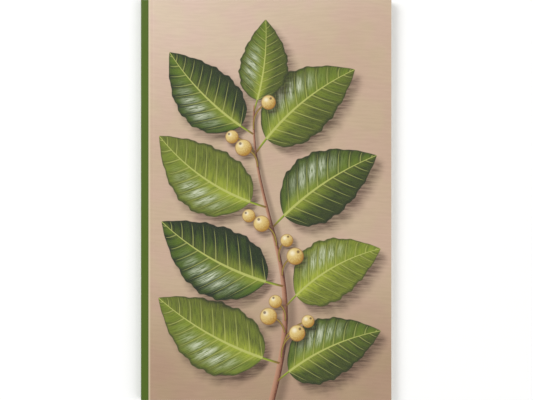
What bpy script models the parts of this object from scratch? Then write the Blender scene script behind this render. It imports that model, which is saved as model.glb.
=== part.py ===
"""A slim perfect-bound paperback, closed and lying on its back cover.

Metres, +Z up. The origin is the middle of the back cover's outer face. X runs from the spine (-X) to
the fore-edge (+X), Y from the tail (-Y) to the head (+Y), and Z from the back cover to the front cover.
The front cover turns on the fold where it meets the spine.
"""

import math

import bpy

MM = 0.001

# Trim size, 5 x 8 inches
TRIM_WIDTH = 127.0 * MM
TRIM_HEIGHT = 203.2 * MM

# Stock
CARD = 0.3 * MM  # laminated cover card
LEAF = 0.12 * MM  # text paper
LEAF_COUNT = 20
GLUE = 0.5 * MM  # hot-melt adhesive along the spine

# Air between the leaves, which spread a little towards the fore-edge
AIR_AT_SPINE = 0.05 * MM
AIR_AT_FORE_EDGE = 0.09 * MM

# Fits
GAP = 0.3 * MM  # between the cover and what lies in it
LEAF_INSET = 0.3 * MM  # the leaves stop this far inside the cover, on their three free edges
COVER_LIFT = 1.2 * MM  # the front cover bows up by this much at its fore-edge
FOLD_RADIUS = 0.6 * MM  # outside radius where the back cover folds into the spine

# Facets
FOLD_STEPS = 6
PANEL_STEPS = 12

LEFT = -TRIM_WIDTH / 2
RIGHT = TRIM_WIDTH / 2
GLUE_LEFT = LEFT + CARD + GAP
LEAF_LEFT = GLUE_LEFT + GLUE + GAP
LEAF_RIGHT = RIGHT - LEAF_INSET
STACK_BOTTOM = CARD + GAP
STACK_TOP_AT_SPINE = STACK_BOTTOM + LEAF_COUNT * LEAF + (LEAF_COUNT - 1) * AIR_AT_SPINE
COVER_UNDERSIDE = STACK_TOP_AT_SPINE + GAP
HINGE = (LEFT + CARD / 2, 0.0, COVER_UNDERSIDE + CARD / 2)


def remove_everything():
    for existing in list(bpy.data.objects):
        bpy.data.objects.remove(existing)


def material(name, colour, roughness):
    made = bpy.data.materials.new(name)
    made.use_nodes = True
    shader = made.node_tree.nodes["Principled BSDF"]
    shader.inputs["Base Color"].default_value = (*colour, 1.0)
    shader.inputs["Roughness"].default_value = roughness
    shader.inputs["Metallic"].default_value = 0.0
    return made


def sheet(name, inner, outer, half_length, stuff, pivot=(0.0, 0.0, 0.0)):
    """A sheet whose section, in X and Z, lies between two lines of as many points, run along Y."""
    points = [(x, z) for pair in zip(inner, outer) for x, z in pair]
    verts = [(x - pivot[0], side * half_length, z - pivot[2]) for side in (-1, 1) for x, z in points]
    back = len(points)
    steps = len(inner) - 1
    faces = []
    for i in range(steps):
        a, b, c, d = 2 * i, 2 * i + 1, 2 * i + 3, 2 * i + 2
        faces.append((a, b, c, d))
        faces.append((d + back, c + back, b + back, a + back))
        faces.append((a, d, d + back, a + back))
        faces.append((c, b, b + back, c + back))
    first, last = 0, 2 * steps
    faces.append((first + 1, first, first + back, first + 1 + back))
    faces.append((last, last + 1, last + 1 + back, last + back))
    mesh = bpy.data.meshes.new(name)
    mesh.from_pydata(verts, [], faces)
    mesh.validate()
    mesh.shade_smooth()
    mesh.set_sharp_from_angle(angle=math.radians(30.0))
    mesh.materials.append(stuff)
    made = bpy.data.objects.new(name, mesh)
    made.location = pivot
    bpy.context.scene.collection.objects.link(made)
    return made


def across(left, right, steps):
    return [left + (right - left) * i / steps for i in range(steps + 1)]


def share(x):
    """How far x lies from the spine, as a share of the width."""
    return (x - LEFT) / TRIM_WIDTH


def back_cover_and_spine(stuff):
    """One card: the spine's wall, the fold, and the back cover that the book lies on."""
    top = COVER_UNDERSIDE - GAP
    outer = [(LEFT, top)]
    inner = [(LEFT + CARD, top)]
    centre_x, centre_z = LEFT + FOLD_RADIUS, FOLD_RADIUS
    for i in range(FOLD_STEPS + 1):
        angle = math.pi + (math.pi / 2) * i / FOLD_STEPS
        c, s = math.cos(angle), math.sin(angle)
        outer.append((centre_x + FOLD_RADIUS * c, centre_z + FOLD_RADIUS * s))
        inner.append((centre_x + (FOLD_RADIUS - CARD) * c, centre_z + (FOLD_RADIUS - CARD) * s))
    outer.append((RIGHT, 0.0))
    inner.append((RIGHT, CARD))
    sheet("back_cover_and_spine", inner, outer, TRIM_HEIGHT / 2, stuff)


def front_cover(stuff):
    """The front panel of the card, which bows up towards its fore-edge and turns on the fold."""
    lower, upper = [], []
    for x in across(LEFT, RIGHT, PANEL_STEPS):
        lift = COVER_LIFT * share(x) ** 2
        lower.append((x, COVER_UNDERSIDE + lift))
        upper.append((x, COVER_UNDERSIDE + CARD + lift))
    sheet("front_cover", upper, lower, TRIM_HEIGHT / 2, stuff, HINGE)


def spine_glue(stuff):
    """The strip of hot-melt adhesive between the leaves' spine edges and the spine."""
    lower = [(GLUE_LEFT, STACK_BOTTOM), (GLUE_LEFT + GLUE, STACK_BOTTOM)]
    upper = [(x, STACK_TOP_AT_SPINE) for x, _ in lower]
    sheet("spine_glue", upper, lower, TRIM_HEIGHT / 2 - LEAF_INSET, stuff)


def leaf(number, stuff):
    """One leaf of text paper; number 1 lies under the front cover."""
    from_bottom = LEAF_COUNT - number
    lower = []
    for x in (LEAF_LEFT, LEAF_RIGHT):
        air = AIR_AT_SPINE + (AIR_AT_FORE_EDGE - AIR_AT_SPINE) * share(x)
        lower.append((x, STACK_BOTTOM + from_bottom * (LEAF + air)))
    upper = [(x, z + LEAF) for x, z in lower]
    sheet(f"leaf_{number:02d}", upper, lower, TRIM_HEIGHT / 2 - LEAF_INSET, stuff)


def build():
    remove_everything()
    cover_card = material("cover_card", (0.55, 0.42, 0.30), 0.35)
    text_paper = material("text_paper", (0.86, 0.83, 0.76), 0.85)
    hot_melt = material("hot_melt", (0.80, 0.72, 0.52), 0.5)
    back_cover_and_spine(cover_card)
    front_cover(cover_card)
    spine_glue(hot_melt)
    for number in range(1, LEAF_COUNT + 1):
        leaf(number, text_paper)


build()
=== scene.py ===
"""Looks of a slim paperback: a folded cover card printed with a leafy branch, and glued leaves of paper.

Metres, in the frame of the CAD model. The book lies on its back cover and the camera looks straight down
on its front cover. X runs from the spine to the fore-edge, Y from the tail to the head.
"""

import math
from collections import namedtuple

import bpy
import numpy as np
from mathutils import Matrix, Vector


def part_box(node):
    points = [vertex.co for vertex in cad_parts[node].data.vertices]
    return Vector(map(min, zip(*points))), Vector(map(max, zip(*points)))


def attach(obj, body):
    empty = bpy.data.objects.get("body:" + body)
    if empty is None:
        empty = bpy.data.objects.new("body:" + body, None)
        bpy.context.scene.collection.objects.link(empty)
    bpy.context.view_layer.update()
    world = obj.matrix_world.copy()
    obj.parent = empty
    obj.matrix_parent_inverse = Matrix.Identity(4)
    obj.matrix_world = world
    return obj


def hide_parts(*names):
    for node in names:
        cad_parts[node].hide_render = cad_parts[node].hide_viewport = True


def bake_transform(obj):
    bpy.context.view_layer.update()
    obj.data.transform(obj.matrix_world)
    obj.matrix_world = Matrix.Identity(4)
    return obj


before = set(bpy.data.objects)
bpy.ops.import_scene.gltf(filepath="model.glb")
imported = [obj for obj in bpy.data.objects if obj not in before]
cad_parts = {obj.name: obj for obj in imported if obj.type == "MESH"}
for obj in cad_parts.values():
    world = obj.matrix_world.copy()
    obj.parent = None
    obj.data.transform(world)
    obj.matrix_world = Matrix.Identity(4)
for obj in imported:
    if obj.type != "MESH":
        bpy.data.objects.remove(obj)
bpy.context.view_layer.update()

MM = 0.001

# Read from the frame, with the leaves of paper listed from the back cover up
BACK_LOW, BACK_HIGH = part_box("back_cover_and_spine")
FRONT_LOW, FRONT_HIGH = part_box("front_cover")
GLUE_LOW, GLUE_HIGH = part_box("spine_glue")
LEAF_NODES = sorted((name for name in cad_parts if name.startswith("leaf_")), reverse=True)
PAGE_LOW, PAGE_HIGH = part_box(LEAF_NODES[0])
LEFT, RIGHT = BACK_LOW.x, BACK_HIGH.x
TAIL, HEAD = BACK_LOW.y, BACK_HIGH.y

# Cover card
CARD = 0.3 * MM
FOLD_RADIUS = 0.6 * MM
TOP = FRONT_LOW.z + CARD  # the front cover's outer face, at the spine
COVER_LIFT = FRONT_HIGH.z - TOP
SEAM_HEIGHT = 0.45 * TOP  # where the front piece of the cover meets the back piece, on the spine
SCORE_IN = 6.0 * MM  # a pressed line that far from the spine
SCORE_HALF_WIDTH = 0.7 * MM
SCORE_DEPTH = 0.06 * MM
CORNER_CURL = 0.35 * MM
ACROSS_STEP = 2.0 * MM
ACROSS_STEPS = int((RIGHT - LEFT) / ACROSS_STEP)
ALONG_STEPS = 90
FOLD_STEPS = 16

# Text paper
PAPER = 0.12 * MM
PAPER_ACROSS, PAPER_ALONG = 28, 64
TRIM_ERROR = 0.12 * MM
COVER_CLEARANCE = 0.14 * MM  # between the top leaf and the front cover, at the spine
FAN = 0.5 * MM  # how much air the leaves gain from the spine to the fore-edge
FAN_WAVE_HEIGHT = 0.07 * MM  # how much that air comes and goes along the fore-edge
FAN_WAVE = 26.0  # radians a metre
TIGHTEST, LOOSEST = 0.12, 1.0  # shares of air between neighbours, before they are evened out
BUNCHING = 2.5  # the higher this is, the more of the leaves lie close together
AIR_SWING = 0.45  # how much the air between two leaves comes and goes over the page
AIR_WAVE = 40.0  # radians a metre, along the page
AIR_SLANT = (25.0, 17.0)  # radians a metre, across and along the page
PAPER_SEED = 8

# Bead of adhesive
GLUE_CLEARANCE = 0.02 * MM
GLUE_SWELL = 0.08 * MM
GLUE_ACROSS, GLUE_ALONG = 8, 160
GLUE_LUMPS = 24  # stretches along the spine, at whose ends the bead is fuller or thinner
GLUE_SEED = 3

# Floor, and studio light: each lamp's place and size in metres, and its power in watts
FLOOR_REACH = 3.0
FLOOR_CLEARANCE = 0.03 * MM
LAMPS = (
    ("key", (-0.75, 0.55, 0.95), 0.7, 9.2),
    ("fill", (0.9, -0.5, 0.8), 1.0, 4.2),
)
SKY_STRENGTH = 0.62

# Camera
PICTURE_WIDTH, PICTURE_HEIGHT = 533.0, 400.0
LENS = 100.0
PAST_FRAME = 0.15 * MM  # the cover's head and tail run this far past the picture's edges
OFF_MIDDLE = 0.25 * MM  # and the cover lies this far left of the picture's middle

# Print, in millimetres of the flat sheet: X from the spine's front edge, Y from the middle
BAND = 3.66
PAGE_WIDTH = (RIGHT - LEFT) / MM
PAGE_HEIGHT = (HEAD - TAIL) / MM
SPINE_WIDTH = TOP / MM
SEAM_PLACE = -(TOP - SEAM_HEIGHT) / MM  # X of the seam between the cover's two pieces

# The printed branch: a sine about its middle line
STEM_MIDDLE = 65.0
STEM_SWAY = 8.0
STEM_LENGTH = 155.0
STEM_FOOT = -106.0
STEM_TIP = STEM_FOOT + STEM_LENGTH
STEM_HALF_WIDTH = 1.6
STEM_TAPER = 0.35  # the tip's width, as a share of the foot's
STEM_TURNS = 0.8
STEM_ROLL = 2 * math.pi * STEM_TURNS / STEM_LENGTH

# A printed leaf, in shares of its length
BLADE_RISE = 0.6  # how fast the blade widens from its base
BLADE_FALL = 0.95  # and narrows towards its tip
BLADE_WIDEST = BLADE_RISE / (BLADE_RISE + BLADE_FALL)
BLADE_FULL = BLADE_WIDEST**BLADE_RISE * (1 - BLADE_WIDEST) ** BLADE_FALL
WAVE_HEIGHT, RIPPLE_HEIGHT = 0.03, 0.012  # the margin's waves, as shares of the half width
WAVE_TURN, RIPPLE_TURN = 38.0, 87.0  # and their radians over the blade's length
MARGINS_APART = 1.4  # half of how far out of step the two margins' waves are, in radians
STALK_REACH = 0.14
STALK_HALF_WIDTH = 0.011
VEINS = 9.0  # on each half of the blade
VEINS_APART = 0.45  # how far the two halves' veins are out of step, as a share of their distance
VEIN_SLOPE = 0.55  # how far a vein runs tipwards for each step outwards
VEIN_SWEEP = 0.03  # and how much further it bends at the margin

# Printed edges and shadows, in millimetres
PRINT_EDGE = 0.22
USUAL_LEAF = 60.0  # a leaf's usual length
STALK_START = 0.7  # from the branch's middle line
SHADOW_SHIFT = (3.0, -3.6)  # to the lower right
SHADOW_BLUR = 4.5
SHADOW_BELOW, SHADOW_ABOVE = 9.0, 3.0  # a leaf's or berry's shadow reaches this far
BERRY_SHADOW = 0.6  # a berry's shadow falls this share as far as a leaf's
STALK_BOW = 0.7  # four times a berry stalk's bow from the straight line, as a share of its length

# Leaves on the branch, the ones behind first: where they leave it, their side (1 is the right), the lift
# of their middle line in degrees, its length, the blade's width, the middle line's bow as a share of its
# length, and how far their green turns to lime
PrintedLeaf = namedtuple("PrintedLeaf", "foot side lift length width bend tint")
PRINTED_LEAVES = (
    PrintedLeaf(-92.0, 1, 24.0, 51.0, 31.0, -0.06, 0.12),
    PrintedLeaf(-83.0, -1, 30.0, 61.0, 36.0, 0.05, 0.34),
    PrintedLeaf(-54.0, 1, 29.0, 49.0, 31.0, -0.07, 0.46),
    PrintedLeaf(-44.0, -1, 30.0, 61.0, 36.0, 0.06, 0.02),
    PrintedLeaf(-14.0, 1, 33.0, 56.0, 34.0, -0.05, 0.08),
    PrintedLeaf(-4.0, -1, 36.0, 57.0, 34.0, 0.07, 0.36),
    PrintedLeaf(24.0, 1, 38.0, 57.0, 34.0, -0.06, 0.22),
    PrintedLeaf(33.0, -1, 46.0, 52.0, 31.0, 0.05, 0.04),
    PrintedLeaf(44.5, 1, 84.0, 41.0, 24.5, 0.04, 0.20),
)
# Berries, the ones behind first: where their stalk leaves the branch, their centre and their radius
PrintedBerry = namedtuple("PrintedBerry", "foot x y radius")
PRINTED_BERRIES = (
    PrintedBerry(-61.0, 68.0, -51.5, 3.4),
    PrintedBerry(-67.0, 64.5, -59.0, 4.4),
    PrintedBerry(-76.0, 84.5, -61.5, 3.3),
    PrintedBerry(-79.5, 79.0, -67.5, 4.2),
    PrintedBerry(-31.0, 73.8, -20.5, 3.3),
    PrintedBerry(-38.0, 78.0, -28.5, 4.4),
    PrintedBerry(-21.0, 54.5, -8.0, 3.4),
    PrintedBerry(-23.0, 61.0, -12.0, 4.2),
    PrintedBerry(20.0, 46.0, 32.0, 3.4),
    PrintedBerry(17.0, 51.8, 26.5, 4.3),
    PrintedBerry(36.0, 64.5, 49.5, 3.7),
)
# The front's printed face is split across, at these places, into one material each
ZONE_EDGES = (-PAGE_HEIGHT / 2, -70.0, -44.0, -18.0, 8.0, 34.0, PAGE_HEIGHT / 2)

# The studio light turns white into this much, and the laminate's gloss adds this much to every ink
LIGHT_GAIN = 1.08
GLOSS_VEIL = 0.026


def srgb(red, green, blue):
    """A colour of 0 to 255 a channel, as the linear values that shaders use."""

    def linear(value):
        value /= 255.0
        return value / 12.92 if value <= 0.04045 else ((value + 0.055) / 1.055) ** 2.4

    return (linear(red), linear(green), linear(blue), 1.0)


def ink(red, green, blue):
    """The ink that looks like this colour, 0 to 255 a channel, under the laminate in this light."""
    seen = srgb(red, green, blue)[:3]
    return (*(max(0.0, (value - GLOSS_VEIL) / LIGHT_GAIN) for value in seen), 1.0)


# Inks of the ground and the bands; rose and straw are tints that the ground is multiplied by
GROUND_LIGHT = ink(224, 202, 184)
GROUND_MID = ink(203, 178, 155)
GROUND_DEEP = ink(173, 145, 120)
ROSE = (1.0, 0.955, 0.965, 1.0)
STRAW = (0.985, 1.0, 0.93, 1.0)
BAND_GREEN = ink(87, 107, 44)
BAND_EDGE = ink(62, 76, 34)
BAND_GLOW = ink(226, 214, 176)
CARD_WHITE = ink(240, 236, 226)

# Inks of the branch
DEEP_GREEN = ink(40, 56, 22)
MID_GREEN = ink(100, 126, 48)
LIME = ink(172, 182, 70)
SHEEN = ink(224, 229, 206)
RIM_GREEN = ink(38, 50, 22)
VEIN_COLOUR = ink(190, 194, 112)
SHADOW_COLOUR = srgb(96, 78, 62)
STEM_BROWN = ink(132, 84, 62)
STEM_DARK = ink(84, 50, 38)
STEM_LIGHT = ink(192, 146, 120)
CREAM = ink(226, 200, 132)
CREAM_DEEP = ink(176, 134, 60)
CREAM_LIGHT = ink(250, 240, 212)

FLOOR_COLOUR = (0.95, 0.95, 0.94, 1.0)
SKY_COLOUR = (1.0, 1.0, 1.0, 1.0)


class Graph:
    """Writes shader arithmetic as nodes. Values are numbers, colours or sockets."""

    def __init__(self, tree):
        self.tree = tree

    def node(self, kind, inputs=(), **settings):
        made = self.tree.nodes.new(kind)
        for name, value in settings.items():
            setattr(made, name, value)
        for key, value in inputs:
            self.give(made.inputs[key], value)
        return made

    def give(self, socket, value):
        if isinstance(value, bpy.types.NodeSocket):
            self.tree.links.new(value, socket)
        else:
            socket.default_value = value

    def math(self, operation, *values, clamp=False):
        made = self.node("ShaderNodeMath", enumerate(values), operation=operation, use_clamp=clamp)
        return made.outputs[0]

    def add(self, a, b):
        return self.math("ADD", a, b)

    def sub(self, a, b):
        return self.math("SUBTRACT", a, b)

    def mul(self, a, *others):
        for b in others:
            a = self.math("MULTIPLY", a, b)
        return a

    def length(self, x, y):
        return self.math("SQRT", self.add(self.mul(x, x), self.mul(y, y)))

    def smooth(self, value, start, end, low=0.0, high=1.0):
        """Eases from low at start to high at end."""
        inputs = (("Value", value), ("From Min", start), ("From Max", end), ("To Min", low), ("To Max", high))
        made = self.node("ShaderNodeMapRange", inputs, interpolation_type="SMOOTHSTEP")
        return made.outputs["Result"]

    def fade(self, value, start, end):
        """Eases from 1 at start to 0 at end."""
        return self.smooth(value, start, end, 1.0, 0.0)

    def hill(self, value, centre, reach):
        """1 at the centre, easing to 0 at reach on both sides."""
        return self.fade(self.math("ABSOLUTE", self.sub(value, centre)), 0.0, reach)

    def vector(self, x, y, z=0.0):
        return self.node("ShaderNodeCombineXYZ", enumerate((x, y, z))).outputs[0]

    def noise(self, vector, scale, detail=2.0, roughness=0.5):
        inputs = (("Vector", vector), ("Scale", scale), ("Detail", detail), ("Roughness", roughness))
        return self.node("ShaderNodeTexNoise", inputs).outputs["Fac"]

    def mix(self, factor, a, b, blend="MIX"):
        made = self.node("ShaderNodeMix", data_type="RGBA", blend_type=blend)
        for index, value in ((0, factor), (6, a), (7, b)):
            self.give(made.inputs[index], value)
        return made.outputs[2]


def shaded(g, factor, colour):
    """The colour under a printed shadow."""
    return g.mix(factor, colour, SHADOW_COLOUR, "MULTIPLY")


def group(name, inputs):
    """A node group that takes Ground and the named numbers, and gives a Colour."""
    tree = bpy.data.node_groups.new(name, "ShaderNodeTree")
    tree.interface.new_socket("Ground", in_out="INPUT", socket_type="NodeSocketColor")
    for label in inputs:
        tree.interface.new_socket(label, in_out="INPUT", socket_type="NodeSocketFloat")
    tree.interface.new_socket("Colour", in_out="OUTPUT", socket_type="NodeSocketColor")
    start = tree.nodes.new("NodeGroupInput")
    end = tree.nodes.new("NodeGroupOutput")
    return tree, start.outputs, end.inputs[0]


def blade_place(g, x, y, given):
    """Along, across (both in shares of the length) and half width, of a point seen from a leaf."""
    turn = g.math("RADIANS", given["Angle"])
    cosine, sine = g.math("COSINE", turn), g.math("SINE", turn)
    dx, dy = g.sub(x, given["Base X"]), g.sub(y, given["Base Y"])
    along = g.math("DIVIDE", g.add(g.mul(dx, cosine), g.mul(dy, sine)), given["Length"])
    across = g.math("DIVIDE", g.sub(g.mul(dy, cosine), g.mul(dx, sine)), given["Length"])
    arch = g.mul(along, g.sub(1.0, along), 4.0)
    across = g.sub(across, g.mul(arch, given["Bend"]))
    within = g.math("MINIMUM", g.math("MAXIMUM", along, 0.0001), 0.9999)
    rise = g.math("POWER", within, BLADE_RISE)
    fall = g.math("POWER", g.sub(1.0, within), BLADE_FALL)
    phase = g.add(given["Base Y"], g.mul(g.math("SIGN", across), MARGINS_APART))
    wave = g.mul(g.math("SINE", g.add(g.mul(along, WAVE_TURN), phase)), WAVE_HEIGHT)
    ripple = g.mul(g.math("SINE", g.sub(g.mul(along, RIPPLE_TURN), phase)), RIPPLE_HEIGHT)
    waved = g.add(1.0, g.add(wave, ripple))
    half = g.mul(rise, fall, waved, g.math("DIVIDE", given["Width"], given["Length"]))
    return along, across, g.mul(half, 0.5 / BLADE_FULL)


def blade_cover(g, place, length, soft):
    """How much a leaf covers a point: 1 inside, 0 outside, eased over soft millimetres."""
    along, across, half = place
    past_margin = g.mul(g.sub(g.math("ABSOLUTE", across), half), length)
    edge = 0.5 * soft / USUAL_LEAF
    from_base = g.smooth(along, -edge, edge)
    to_tip = g.fade(along, 1.0 - edge, 1.0 + edge)
    return g.mul(g.fade(past_margin, -soft, soft), from_base, to_tip)


def blade_colour(g, x, y, given, place):
    """A blade in coloured pencil, hatched along its veins, with one half lit."""
    along, across, half = place
    outward = g.math("ABSOLUTE", across)
    edgeward = g.math("DIVIDE", outward, g.math("MAXIMUM", half, 0.002))
    lit = g.smooth(across, -0.004, 0.004)

    # Veins sweep tipwards; the blade swells between them and is hatched along them
    swept = g.add(g.mul(outward, VEIN_SLOPE), g.mul(edgeward, edgeward, VEIN_SWEEP))
    vein_at = g.add(g.mul(g.sub(along, swept), VEINS), g.mul(lit, VEINS_APART))
    from_vein = g.mul(g.math("PINGPONG", vein_at, 0.5), 2.0)
    pillow = g.smooth(from_vein, 0.0, 0.75)
    strokes = g.noise(g.vector(g.mul(vein_at, 9.0), g.mul(outward, 9.0), given["Base X"]), 1.6, 3.0, 0.6)
    cloud = g.noise(g.vector(g.mul(x, 0.05), g.mul(y, 0.05), given["Base Y"]), 1.5, 2.0)

    # Green, deeper at the margin
    tone = g.add(g.mul(pillow, 0.4), g.mul(lit, 0.36))
    tone = g.add(tone, g.mul(g.sub(cloud, 0.5), 0.7))
    tone = g.add(tone, g.mul(g.sub(strokes, 0.5), 0.7))
    tone = g.add(tone, g.mul(g.smooth(edgeward, 0.2, 1.0), -0.3))
    colour = g.mix(g.math("ADD", tone, -0.1, clamp=True), DEEP_GREEN, MID_GREEN)

    # Lime along the middle, strongest at the base
    glow = g.mul(g.fade(edgeward, 0.0, 0.55), g.smooth(along, 0.0, 0.75, 1.0, 0.15))
    glow = g.add(g.mul(glow, 0.6), given["Tint"])
    glow = g.math("MULTIPLY", glow, g.smooth(strokes, 0.3, 0.6, 0.5, 1.0), clamp=True)
    colour = g.mix(glow, colour, LIME)

    # Sheen on the swells of the lit half
    shine = g.mul(g.hill(edgeward, 0.5, 0.42), g.hill(along, 0.42, 0.36), lit)
    shine = g.mul(shine, g.smooth(strokes, 0.34, 0.62), pillow)
    colour = g.mix(g.mul(shine, 0.85), colour, SHEEN)

    # Pale veins and middle rib, and a dark rim
    vein_width = g.smooth(edgeward, 0.0, 0.9, 0.17, 0.06)
    vein = g.mul(g.fade(from_vein, 0.02, vein_width), g.fade(edgeward, 0.7, 0.97))
    colour = g.mix(g.mul(vein, 0.55), colour, VEIN_COLOUR)
    rib_width = g.smooth(along, 0.0, 1.0, 0.012, 0.003)
    rib = g.fade(g.math("DIVIDE", outward, rib_width), 0.6, 1.2)
    colour = g.mix(g.mul(rib, 0.85), colour, VEIN_COLOUR)
    return g.mix(g.mul(g.smooth(edgeward, 0.86, 0.99), 0.6), colour, RIM_GREEN)


def leaf_stalk(g, place, ground):
    """The leaf's stalk over the ground: green at the blade, and brown where it leaves the branch."""
    along, across, _ = place
    inside = g.fade(g.math("ABSOLUTE", across), STALK_HALF_WIDTH * 0.7, STALK_HALF_WIDTH)
    from_foot = g.smooth(along, -STALK_REACH - 0.01, -STALK_REACH)
    to_blade = g.fade(along, 0.02, 0.05)
    colour = g.mix(g.smooth(across, -STALK_HALF_WIDTH, STALK_HALF_WIDTH), MID_GREEN, LIME)
    colour = g.mix(g.smooth(along, -STALK_REACH, -STALK_REACH / 3, 0.8, 0.0), colour, STEM_BROWN)
    return g.mix(g.mul(inside, from_foot, to_blade), ground, colour)


def leaf_group():
    """One leaf with its stalk, over the ground and its own soft hatched shadow."""
    labels = ("X", "Y", "Hatch", "Base X", "Base Y", "Angle", "Length", "Width", "Bend", "Tint")
    tree, given, out = group("printed_leaf", labels)
    g = Graph(tree)
    x, y, length = given["X"], given["Y"], given["Length"]
    shifted = blade_place(g, g.sub(x, SHADOW_SHIFT[0]), g.sub(y, SHADOW_SHIFT[1]), given)
    shadow = g.mul(blade_cover(g, shifted, length, SHADOW_BLUR), given["Hatch"], 0.72)
    ground = shaded(g, shadow, given["Ground"])
    place = blade_place(g, x, y, given)
    colour = blade_colour(g, x, y, given, place)
    under = leaf_stalk(g, place, ground)
    g.give(out, g.mix(blade_cover(g, place, length, PRINT_EDGE), under, colour))
    return tree


def berry_group():
    """One round berry in coloured pencil, with its soft shadow, and the stalk that it grows on."""
    labels = ("X", "Y", "Hatch", "Centre X", "Centre Y", "Radius", "Foot X", "Foot Y")
    tree, given, out = group("printed_berry", labels)
    g = Graph(tree)
    run_x, run_y = g.sub(given["Centre X"], given["Foot X"]), g.sub(given["Centre Y"], given["Foot Y"])
    span = g.length(run_x, run_y)
    way_x, way_y = g.math("DIVIDE", run_x, span), g.math("DIVIDE", run_y, span)

    def from_stalk(shift_x, shift_y):
        """Distance to the stalk in millimetres; it bows upwards between its two ends."""
        at_x = g.sub(g.sub(given["X"], shift_x), given["Foot X"])
        at_y = g.sub(g.sub(given["Y"], shift_y), given["Foot Y"])
        ahead = g.add(g.mul(at_x, way_x), g.mul(at_y, way_y))
        aside = g.sub(g.mul(at_y, way_x), g.mul(at_x, way_y))
        along = g.math("DIVIDE", ahead, span, clamp=True)
        bow = g.mul(along, g.sub(1.0, along), span, g.mul(g.math("SIGN", run_x), STALK_BOW))
        return g.length(g.sub(ahead, g.mul(along, span)), g.sub(aside, bow))

    def reach(shift_x, shift_y):
        """Place in the berry, in shares of its radius, and distance from its centre."""
        x = g.math("DIVIDE", g.sub(g.sub(given["X"], given["Centre X"]), shift_x), given["Radius"])
        y = g.math("DIVIDE", g.sub(g.sub(given["Y"], given["Centre Y"]), shift_y), given["Radius"])
        return x, y, g.length(x, y)

    # Shadows of the berry and its stalk, then the stalk
    in_shadow = reach(BERRY_SHADOW * SHADOW_SHIFT[0], BERRY_SHADOW * SHADOW_SHIFT[1])[2]
    ground = shaded(g, g.mul(g.fade(in_shadow, 0.6, 1.5), given["Hatch"], 0.7), given["Ground"])
    ground = shaded(g, g.mul(g.fade(from_stalk(0.9, -1.1), 0.0, 1.3), 0.4), ground)
    stalk = from_stalk(0.0, 0.0)
    ground = g.mix(g.fade(stalk, 0.35, 0.6), ground, STEM_BROWN)
    ground = g.mix(g.smooth(stalk, 0.0, 0.35, 0.6, 0.0), ground, LIME)

    # The berry: deeper at the lower right, with a glint, a dark tip away from its stalk and a thin rim
    x, y, from_centre = reach(0.0, 0.0)
    grain = g.noise(g.vector(given["X"], given["Y"], given["Radius"]), 1.7, 3.0, 0.6)
    lower = g.add(g.add(g.mul(x, 0.35), g.mul(y, -0.45)), g.mul(from_centre, 0.35))
    lower = g.add(lower, g.mul(g.sub(grain, 0.5), 0.9))
    colour = g.mix(g.smooth(lower, -0.1, 0.8), CREAM, CREAM_DEEP)
    from_glint = g.length(g.add(x, 0.32), g.sub(y, 0.36))
    colour = g.mix(g.mul(g.fade(from_glint, 0.0, 0.5), 0.85), colour, CREAM_LIGHT)
    from_tip = g.length(g.sub(x, g.mul(way_x, 0.62)), g.sub(y, g.mul(way_y, 0.62)))
    colour = g.mix(g.mul(g.fade(from_tip, 0.1, 0.24), 0.75), colour, STEM_DARK)
    colour = g.mix(g.mul(g.smooth(from_centre, 0.82, 1.0), 0.7), colour, STEM_BROWN)
    g.give(out, g.mix(g.fade(from_centre, 0.96, 1.04), ground, colour))
    return tree


def stem_x(y):
    """Where the branch's middle line is at a height y."""
    return STEM_MIDDLE + STEM_SWAY * math.sin(STEM_ROLL * (y - STEM_FOOT))


def branch_over(g, x, y, ground):
    """The branch that carries the printed leaves, with a shadow along its right side."""
    turn = g.mul(g.sub(y, STEM_FOOT), STEM_ROLL)
    middle = g.add(STEM_MIDDLE, g.mul(g.math("SINE", turn), STEM_SWAY))
    width = g.smooth(y, STEM_FOOT, STEM_TIP, STEM_HALF_WIDTH, STEM_TAPER * STEM_HALF_WIDTH)
    to_tip = g.fade(y, STEM_TIP - 2.0, STEM_TIP)
    off = g.math("DIVIDE", g.sub(x, middle), width)
    from_shadow = g.math("ABSOLUTE", g.sub(off, 2.2))
    ground = shaded(g, g.mul(g.smooth(from_shadow, 0.2, 3.2, 0.5, 0.0), to_tip), ground)
    bark = g.noise(g.vector(g.mul(x, 2.5), g.mul(y, 0.35)), 1.3, 3.0, 0.65)
    colour = g.mix(g.smooth(off, -1.0, 1.0), STEM_LIGHT, STEM_BROWN)
    colour = g.mix(g.smooth(g.add(off, g.mul(g.sub(bark, 0.5), 2.5)), 0.1, 1.1), colour, STEM_DARK)
    inside = g.fade(g.math("ABSOLUTE", off), 0.88, 1.08)
    return g.mix(g.mul(inside, to_tip), ground, colour)


def blade_base(leaf):
    """The leaf's angle in degrees, and where its blade starts, so that its bent stalk ends at the branch."""
    angle = leaf.lift if leaf.side > 0 else 180.0 - leaf.lift
    turn = math.radians(angle)
    ahead = STALK_START + STALK_REACH * leaf.length
    aside = -4.0 * STALK_REACH * (1.0 + STALK_REACH) * leaf.bend * leaf.side * leaf.length
    base_x = stem_x(leaf.foot) + ahead * math.cos(turn) - aside * math.sin(turn)
    base_y = leaf.foot + ahead * math.sin(turn) + aside * math.cos(turn)
    return angle, base_x, base_y


def leaf_span(leaf):
    """Lowest and highest y of a printed leaf with its stalk."""
    angle, _, base_y = blade_base(leaf)
    turn = math.radians(angle)
    along = np.linspace(0.0, 1.0, 41)
    half = 0.5 * leaf.width / BLADE_FULL * along**BLADE_RISE * (1.0 - along) ** BLADE_FALL
    middle = -4.0 * leaf.bend * leaf.side * along * (1.0 - along) * leaf.length
    edges = np.concatenate([middle - half, middle + half])
    y = base_y + leaf.length * np.tile(along, 2) * math.sin(turn) + edges * math.cos(turn)
    return min(leaf.foot, y.min()), y.max()


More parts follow.
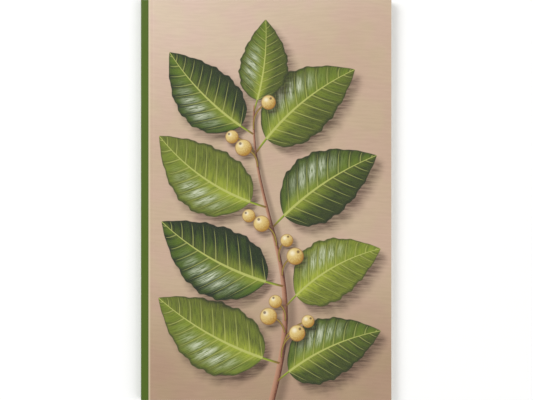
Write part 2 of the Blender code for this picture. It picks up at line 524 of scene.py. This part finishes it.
def printed_branch(g, x, y, ground, hatch, zone, groups):
    """The printed design from the back to the front: branch, leaves and berries. Only what reaches
    into the zone, a lowest and highest y, is drawn, because a material holds a limited number."""
    berry_kind, leaf_kind = groups

    def draw(kind, colour, *values):
        made = g.node("ShaderNodeGroup", node_tree=kind)
        for socket, value in zip(made.inputs, (colour, x, y, hatch, *values)):
            g.give(socket, value)
        return made.outputs[0]

    def in_zone(low, high):
        return high + SHADOW_ABOVE >= zone[0] and low - SHADOW_BELOW <= zone[1]

    colour = branch_over(g, x, y, ground)
    for leaf in PRINTED_LEAVES:
        if in_zone(*leaf_span(leaf)):
            angle, base_x, base_y = blade_base(leaf)
            bend = -leaf.bend * leaf.side
            colour = draw(leaf_kind, colour, base_x, base_y, angle, leaf.length, leaf.width, bend, leaf.tint)
    for berry in PRINTED_BERRIES:
        if in_zone(min(berry.foot, berry.y - berry.radius), max(berry.foot, berry.y + berry.radius)):
            foot_x = stem_x(berry.foot)
            colour = draw(berry_kind, colour, berry.x, berry.y, berry.radius, foot_x, berry.foot)
    return colour


def printed_ground(g, x, y, flat):
    """Tan ground: lightest at the spine's head corner, darkest at the tail, faintly mottled."""
    fall = g.math("DIVIDE", g.sub(PAGE_HEIGHT / 2, y), PAGE_HEIGHT)
    down = g.smooth(fall, 0.0, 1.0)
    from_spine = g.math("DIVIDE", g.math("MAXIMUM", x, 0.0), PAGE_WIDTH)
    side = g.mul(from_spine, g.smooth(down, 0.0, 0.8, 0.3, 0.02))
    upper = g.math("MINIMUM", g.add(g.mul(fall, 0.92), 0.05), 0.42)
    depth = g.add(upper, g.smooth(down, 0.6, 1.05, 0.0, 0.42))
    cloud = g.noise(flat, 0.022, 3.0)
    depth = g.add(g.add(depth, side), g.mul(g.sub(cloud, 0.5), 0.22))
    ground = g.mix(g.smooth(depth, 0.0, 0.5), GROUND_LIGHT, GROUND_MID)
    ground = g.mix(g.smooth(depth, 0.5, 1.0), ground, GROUND_DEEP)
    hue = g.mix(g.smooth(g.noise(flat, 0.06, 2.0), 0.35, 0.65), ROSE, STRAW)
    return g.mix(1.0, ground, hue, "MULTIPLY")


def pencil_hatch(g, x, y):
    """Strength of long near-level pencil strokes, from 0.7 to 1.3."""
    bowed = g.add(y, g.mul(g.math("SINE", g.mul(x, 0.045)), 2.5))
    strokes = g.noise(g.vector(g.mul(x, 0.1), bowed), 0.9, 3.0, 0.65)
    return g.smooth(strokes, 0.3, 0.7, 0.7, 1.3)


def bands_over(g, x, colour):
    """Green over the spine and the bands beside it, with a dark edge and a pale line past it."""
    past_band = g.sub(g.math("ABSOLUTE", g.add(x, SPINE_WIDTH / 2)), SPINE_WIDTH / 2 + BAND)
    colour = g.mix(g.mul(g.fade(past_band, 0.3, 1.2), 0.6), colour, BAND_GLOW)
    band = g.mix(g.smooth(past_band, -0.5, 0.0, 0.0, 0.8), BAND_GREEN, BAND_EDGE)
    return g.mix(g.smooth(past_band, -0.08, 0.08), band, colour)


def rubbed(g, x, y, flat, colour):
    """White specks of card where the two folds and the cut edges are lightly rubbed."""
    on_fold = g.math("MAXIMUM", g.hill(x, -0.3, 0.5), g.hill(x, -SPINE_WIDTH + 0.3, 0.5))
    from_ends = g.sub(PAGE_HEIGHT / 2, g.math("ABSOLUTE", y))
    from_middle = g.math("ABSOLUTE", g.add(x, SPINE_WIDTH / 2))
    from_sides = g.sub(PAGE_WIDTH + SPINE_WIDTH / 2, from_middle)
    on_edge = g.fade(g.math("MINIMUM", from_ends, from_sides), 0.0, 0.22)
    specks = g.smooth(g.noise(flat, 1.1, 4.0, 0.7), 0.55, 0.68)
    return g.mix(g.mul(g.math("MAXIMUM", on_fold, on_edge), specks, 0.35), colour, CARD_WHITE)


def new_material(name):
    made = bpy.data.materials.new(name)
    made.use_nodes = True
    tree = made.node_tree
    return made, Graph(tree), tree.nodes["Principled BSDF"].inputs


def add_bump(g, surface, height, strength, distance):
    """Fine relief, distance metres deep, in the surface's normal."""
    inputs = (("Height", height), ("Strength", strength), ("Distance", distance))
    g.give(surface["Normal"], g.node("ShaderNodeBump", inputs).outputs[0])


def cover_print(name, zone=None, groups=None):
    """The laminated outer face of the card: tan ground, green spine and bands, and on the front the
    part of the branch that lies in the zone."""
    made, g, surface = new_material(name)
    sheet = g.node("ShaderNodeAttribute", attribute_name="sheet_mm").outputs["Vector"]
    parts = g.node("ShaderNodeSeparateXYZ", ((0, sheet),)).outputs
    x, y = parts[0], parts[1]
    flat = g.vector(x, y)
    hatch = pencil_hatch(g, x, y)
    colour = shaded(g, g.smooth(hatch, 0.7, 1.3, 0.0, 0.06), printed_ground(g, x, y, flat))
    if zone:
        colour = printed_branch(g, x, y, colour, hatch, zone, groups)
    grain = g.noise(flat, 3.6, 2.0, 0.6)
    colour = g.mix(g.smooth(grain, 0.5, 0.8, 0.0, 0.16), colour, GROUND_LIGHT)
    colour = bands_over(g, x, colour)
    g.give(surface["Base Color"], rubbed(g, x, y, flat, colour))

    # The laminate's low, slightly uneven gloss
    film = g.noise(flat, 0.35, 4.0, 0.6)
    g.give(surface["Roughness"], g.smooth(film, 0.3, 0.7, 0.34, 0.46))
    surface["Specular IOR Level"].default_value = 0.4
    surface["Coat Weight"].default_value = 0.12
    surface["Coat Roughness"].default_value = 0.2
    fibre = g.noise(flat, 5.0, 3.0, 0.6)
    add_bump(g, surface, g.add(g.mul(fibre, 0.35), g.mul(film, 0.65)), 0.18, 0.04 * MM)
    return made


def bare_card():
    """The card's uncoated inner face and its cut edges."""
    made, g, surface = new_material("bare_card")
    place = g.node("ShaderNodeTexCoord").outputs["Object"]
    fibre = g.noise(place, 2600.0, 3.0, 0.65)
    cloud = g.noise(place, 60.0, 2.0)
    colour = g.mix(g.smooth(fibre, 0.3, 0.75), srgb(245, 242, 234), srgb(235, 230, 219))
    colour = g.mix(g.smooth(cloud, 0.35, 0.7, 0.0, 0.15), colour, srgb(232, 222, 200))
    g.give(surface["Base Color"], colour)
    g.give(surface["Roughness"], g.smooth(fibre, 0.3, 0.7, 0.7, 0.88))
    add_bump(g, surface, fibre, 0.3, 0.05 * MM)
    return made


def text_paper():
    """Uncoated text paper, with fibres on its faces and a slightly darker, guillotined edge."""
    made, g, surface = new_material("text_paper")
    place = g.node("ShaderNodeTexCoord").outputs["Object"]
    normal = g.node("ShaderNodeNewGeometry").outputs["True Normal"]
    up = g.node("ShaderNodeSeparateXYZ", ((0, normal),)).outputs[2]
    on_edge = g.fade(g.math("ABSOLUTE", up), 0.4, 0.8)
    fibre = g.noise(place, 1900.0, 4.0, 0.65)
    cloud = g.noise(place, 45.0, 3.0)
    each = g.node("ShaderNodeObjectInfo").outputs["Random"]
    colour = g.mix(g.smooth(fibre, 0.3, 0.75), srgb(246, 243, 235), srgb(239, 235, 225))
    colour = g.mix(g.smooth(cloud, 0.35, 0.7, 0.0, 0.18), colour, srgb(238, 229, 208))
    edge = g.mix(each, srgb(236, 228, 208), srgb(214, 202, 176))
    colour = g.mix(g.mul(on_edge, 0.8), colour, edge)
    g.give(surface["Base Color"], colour)
    g.give(surface["Roughness"], g.smooth(fibre, 0.3, 0.7, 0.78, 0.94))
    add_bump(g, surface, fibre, 0.15, 0.04 * MM)
    return made


def hot_melt():
    """Set hot-melt adhesive: amber white, waxy, slightly uneven."""
    made, g, surface = new_material("hot_melt")
    place = g.node("ShaderNodeTexCoord").outputs["Object"]
    lumps = g.noise(place, 220.0, 3.0)
    colour = g.mix(g.smooth(lumps, 0.3, 0.7), srgb(238, 230, 206), srgb(222, 206, 168))
    g.give(surface["Base Color"], colour)
    g.give(surface["Roughness"], g.smooth(lumps, 0.3, 0.7, 0.3, 0.5))
    add_bump(g, surface, lumps, 0.5, 0.1 * MM)
    return made


def closed_sheet(name, upper, lower, materials, sheet=None):
    """A thin closed mesh between two grids of points (rows, columns, 3). Its rim and lower face take
    the last material. sheet gives the grids' points their place on the flat printed sheet; the
    upper face then takes the materials before the last one, zone by zone."""
    rows, columns = upper.shape[:2]
    count = rows * columns
    points = np.concatenate([upper.reshape(-1, 3), lower.reshape(-1, 3)])
    index = np.arange(count).reshape(rows, columns)
    a, b = index[:-1, :-1].ravel(), index[1:, :-1].ravel()
    c, d = index[1:, 1:].ravel(), index[:-1, 1:].ravel()
    top = np.stack([a, b, c, d], 1)
    bottom = np.stack([d, c, b, a], 1) + count
    ring = np.concatenate([index[:-1, 0], index[-1, :-1], index[:0:-1, -1], index[0, :0:-1]])
    following = np.roll(ring, -1)
    rim = np.stack([ring, ring + count, following + count, following], 1)
    faces = np.concatenate([top, bottom, rim])
    mesh = bpy.data.meshes.new(name)
    mesh.from_pydata(points.tolist(), [], faces.tolist())
    mesh.validate()
    for stuff in materials:
        mesh.materials.append(stuff)
    slots = np.full(len(faces), len(materials) - 1, dtype=np.int32)
    slots[: len(top)] = 0
    if sheet is not None:
        attribute = mesh.attributes.new("sheet_mm", "FLOAT_VECTOR", "POINT")
        attribute.data.foreach_set("vector", np.concatenate([sheet, sheet]).reshape(-1).astype(np.float32))
        if len(materials) > 2:
            middle = (sheet[:-1, :-1, 1] + sheet[:-1, 1:, 1]).ravel() / 2
            slots[: len(top)] = np.searchsorted(ZONE_EDGES[1:-1], middle)
    mesh.polygons.foreach_set("material_index", slots)
    mesh.shade_smooth()
    mesh.set_sharp_from_angle(angle=math.radians(50.0))
    made = bpy.data.objects.new(name, mesh)
    bpy.context.scene.collection.objects.link(made)
    return made


def share(x):
    """How far x lies from the spine, as a share of the width."""
    return (x - LEFT) / (RIGHT - LEFT)


def arc(centre_x, centre_z, start, end):
    """Points (x, z) round a fold of the card, from one angle to another in degrees."""
    angles = np.radians(np.linspace(start, end, FOLD_STEPS + 1))
    return [(centre_x + FOLD_RADIUS * math.cos(t), centre_z + FOLD_RADIUS * math.sin(t)) for t in angles]


def sheet_places(line):
    """Distance along the line of section points, in millimetres, from its first point."""
    return np.concatenate([[0.0], np.cumsum(np.hypot(*np.diff(np.array(line), axis=0).T))]) / MM


def back_line():
    """The outer face from the back cover's fore-edge, round the lower fold, up to the seam."""
    line = [(x, 0.0) for x in np.linspace(RIGHT, LEFT + FOLD_RADIUS, ACROSS_STEPS)[:-1]]
    line += arc(LEFT + FOLD_RADIUS, FOLD_RADIUS, 270.0, 180.0)
    return line + [(LEFT, SEAM_HEIGHT)]


def front_line():
    """The outer face from the seam, round the upper fold, to the front cover's fore-edge."""
    line = [(LEFT, z) for z in np.linspace(SEAM_HEIGHT, TOP - FOLD_RADIUS, 4)[:-1]]
    line += arc(LEFT + FOLD_RADIUS, TOP - FOLD_RADIUS, 180.0, 90.0)
    score = [LEFT + SCORE_IN + SCORE_HALF_WIDTH * k / 2 for k in range(-3, 4)]
    before = np.linspace(LEFT + FOLD_RADIUS, score[0], 6)[1:-1]
    after = np.linspace(score[-1], RIGHT, ACROSS_STEPS)[1:]
    for x in [*before, *score, *after]:
        groove = SCORE_DEPTH * max(0.0, 1.0 - ((x - LEFT - SCORE_IN) / SCORE_HALF_WIDTH) ** 2)
        line.append((x, TOP + (COVER_LIFT - CORNER_CURL) * share(x) ** 2 - groove))
    return line


def cover_piece(name, line, start, curl, materials):
    """A stretch of the cover card whose outer face runs along a line of (x, z) points. start is the
    first point's place on the flat sheet in millimetres; curl is how far its free corners lift."""
    line = np.array(line)
    tangent = np.gradient(line, axis=0)
    tangent /= np.hypot(tangent[:, 0], tangent[:, 1])[:, None]
    inward = np.stack([tangent[:, 1], 0 * tangent[:, 0], -tangent[:, 0]], 1)
    along = np.linspace(TAIL, HEAD, ALONG_STEPS + 1)
    x, y = np.meshgrid(line[:, 0], along, indexing="ij")
    out = np.clip(share(x), 0.0, 1.0)
    z = line[:, 1][:, None] + curl * out**6 * (2 * np.abs(y) / (HEAD - TAIL)) ** 4
    outer = np.stack([x, y, z], -1)
    inner = outer + inward[:, None, :] * CARD
    inner[..., 0] = np.clip(inner[..., 0], LEFT, RIGHT)
    flat = np.repeat((start + sheet_places(line))[:, None], len(along), 1)
    return closed_sheet(name, outer, inner, materials, np.stack([flat, y / MM, 0 * y], -1))


def build_cover():
    """One folded card in two pieces, which meet on the spine."""
    inside = bare_card()
    groups = berry_group(), leaf_group()
    zones = zip(ZONE_EDGES, ZONE_EDGES[1:])
    front_prints = [cover_print(f"front_print_{n}", zone, groups) for n, zone in enumerate(zones, 1)]
    back_materials = (cover_print("back_print"), inside)

    back = back_line()
    back_start = SEAM_PLACE - sheet_places(back)[-1]
    back_piece = cover_piece("cover_back_and_spine", back, back_start, 0.0, back_materials)
    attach(back_piece, "book")
    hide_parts("back_cover_and_spine")

    front_materials = (*front_prints, inside)
    front_piece = cover_piece("cover_front", front_line(), SEAM_PLACE, CORNER_CURL, front_materials)
    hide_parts("front_cover")
    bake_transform(front_piece)


def air_shares(x, y, out, tightness, phases):
    """The share of the air that lies right below each leaf, at every point of the grid."""
    slant = np.sin(y * AIR_SLANT[1] + x * AIR_SLANT[0])
    swing = AIR_SWING * out * (np.sin(y * AIR_WAVE + phases[:, 0, None, None]) + slant)
    shares = tightness[:, None, None] * (1.0 + swing * np.cos(phases[:, 1, None, None]))
    return shares / shares.sum(0)


def air_in_stack(y, out, phase):
    """All the air in the stack of leaves, at every point of the grid."""
    at_spine = TOP - CARD - COVER_CLEARANCE - CARD - len(LEAF_NODES) * PAPER
    return at_spine + FAN * out**1.5 + FAN_WAVE_HEIGHT * out**2 * np.sin(y * FAN_WAVE + phase)


def build_leaves():
    """Leaves of text paper, from the back cover up. They bunch unevenly, as in a book that has been
    opened, and their air always adds up to the room under the front cover, so that none touch."""
    paper = text_paper()
    chance = np.random.default_rng(PAPER_SEED)
    count = len(LEAF_NODES)
    tightness = TIGHTEST + (LOOSEST - TIGHTEST) * chance.random(count) ** BUNCHING
    tightness[0] = TIGHTEST
    phases = chance.uniform(0.0, 2 * math.pi, (count, 2))
    for number, node in enumerate(LEAF_NODES):
        trims = chance.uniform(0.0, TRIM_ERROR, 3)
        xs = np.linspace(PAGE_LOW.x, PAGE_HIGH.x - trims[0], PAPER_ACROSS + 1)
        ys = np.linspace(PAGE_LOW.y + trims[1], PAGE_HIGH.y - trims[2], PAPER_ALONG + 1)
        x, y = np.meshgrid(xs, ys, indexing="ij")
        out = (x - PAGE_LOW.x) / (PAGE_HIGH.x - PAGE_LOW.x)
        below = air_shares(x, y, out, tightness, phases)[: number + 1].sum(0)
        z = CARD + number * PAPER + air_in_stack(y, out, phases[0, 0]) * below
        lower = np.stack([x, y, z], -1)
        upper = lower + np.array([0.0, 0.0, PAPER])
        piece = closed_sheet("paper_" + node, upper, lower, (paper,))
        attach(piece, "book")
        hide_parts(node)


def build_glue():
    """The bead of adhesive between the spine and the leaves, here and there fuller or thinner."""
    left = LEFT + CARD + GLUE_CLEARANCE
    right = PAGE_LOW.x - GLUE_CLEARANCE
    high = (GLUE_HIGH.z + TOP - CARD) / 2
    xs = np.linspace(left, right, GLUE_ACROSS + 1)
    ys = np.linspace(GLUE_LOW.y, GLUE_HIGH.y, GLUE_ALONG + 1)
    x, y = np.meshgrid(xs, ys, indexing="ij")
    lumps = np.random.default_rng(GLUE_SEED).uniform(-1.0, 1.0, GLUE_LUMPS + 1)
    place = (y - GLUE_LOW.y) / (GLUE_HIGH.y - GLUE_LOW.y) * GLUE_LUMPS
    before = np.minimum(place.astype(int), GLUE_LUMPS - 1)
    ease = (1.0 - np.cos(math.pi * (place - before))) / 2
    fullness = lumps[before] * (1.0 - ease) + lumps[before + 1] * ease
    crown = np.sin(math.pi * (x - left) / (right - left))
    upper = np.stack([x, y, high + GLUE_SWELL * fullness * crown], -1)
    lower = np.stack([x, y, np.full_like(x, CARD + GLUE_CLEARANCE)], -1)
    piece = closed_sheet("glue_bead", upper, lower, (hot_melt(),))
    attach(piece, "book")
    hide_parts("spine_glue")


def build_floor():
    far, height = FLOOR_REACH, -FLOOR_CLEARANCE
    mesh = bpy.data.meshes.new("floor")
    corners = [(-far, -far, height), (far, -far, height), (far, far, height), (-far, far, height)]
    mesh.from_pydata(corners, [], [(0, 1, 2, 3)])
    made, _, surface = new_material("pale_floor")
    surface["Base Color"].default_value = FLOOR_COLOUR
    surface["Roughness"].default_value = 0.9
    mesh.materials.append(made)
    floor = bpy.data.objects.new("floor", mesh)
    bpy.context.scene.collection.objects.link(floor)


def build_light():
    """Two soft lamps that look at the book, and an even sky."""
    for name, place, size, power in LAMPS:
        data = bpy.data.lights.new(name, "AREA")
        data.size = size
        data.energy = power
        lamp = bpy.data.objects.new(name, data)
        lamp.location = place
        lamp.rotation_mode = "QUATERNION"
        lamp.rotation_quaternion = (-Vector(place)).to_track_quat("-Z", "Y")
        bpy.context.scene.collection.objects.link(lamp)
    world = bpy.data.worlds.new("studio")
    world.use_nodes = True
    sky = world.node_tree.nodes["Background"].inputs
    sky["Color"].default_value = SKY_COLOUR
    sky["Strength"].default_value = SKY_STRENGTH
    bpy.context.scene.world = world
    bpy.context.scene.view_settings.view_transform = "Standard"


def build_camera():
    """Straight above the cover, which fills the picture's height as it does in the photograph."""
    data = bpy.data.cameras.new("camera")
    data.lens = LENS
    view_width = (HEAD - TAIL - 2 * PAST_FRAME) * PICTURE_WIDTH / PICTURE_HEIGHT
    distance = data.lens / data.sensor_width * view_width
    camera = bpy.data.objects.new("camera", data)
    camera.location = ((LEFT + RIGHT) / 2 + OFF_MIDDLE, (TAIL + HEAD) / 2, TOP + distance)
    bpy.context.scene.collection.objects.link(camera)
    bpy.context.scene.camera = camera


build_camera()
build_light()
build_floor()
build_cover()
build_leaves()
build_glue()
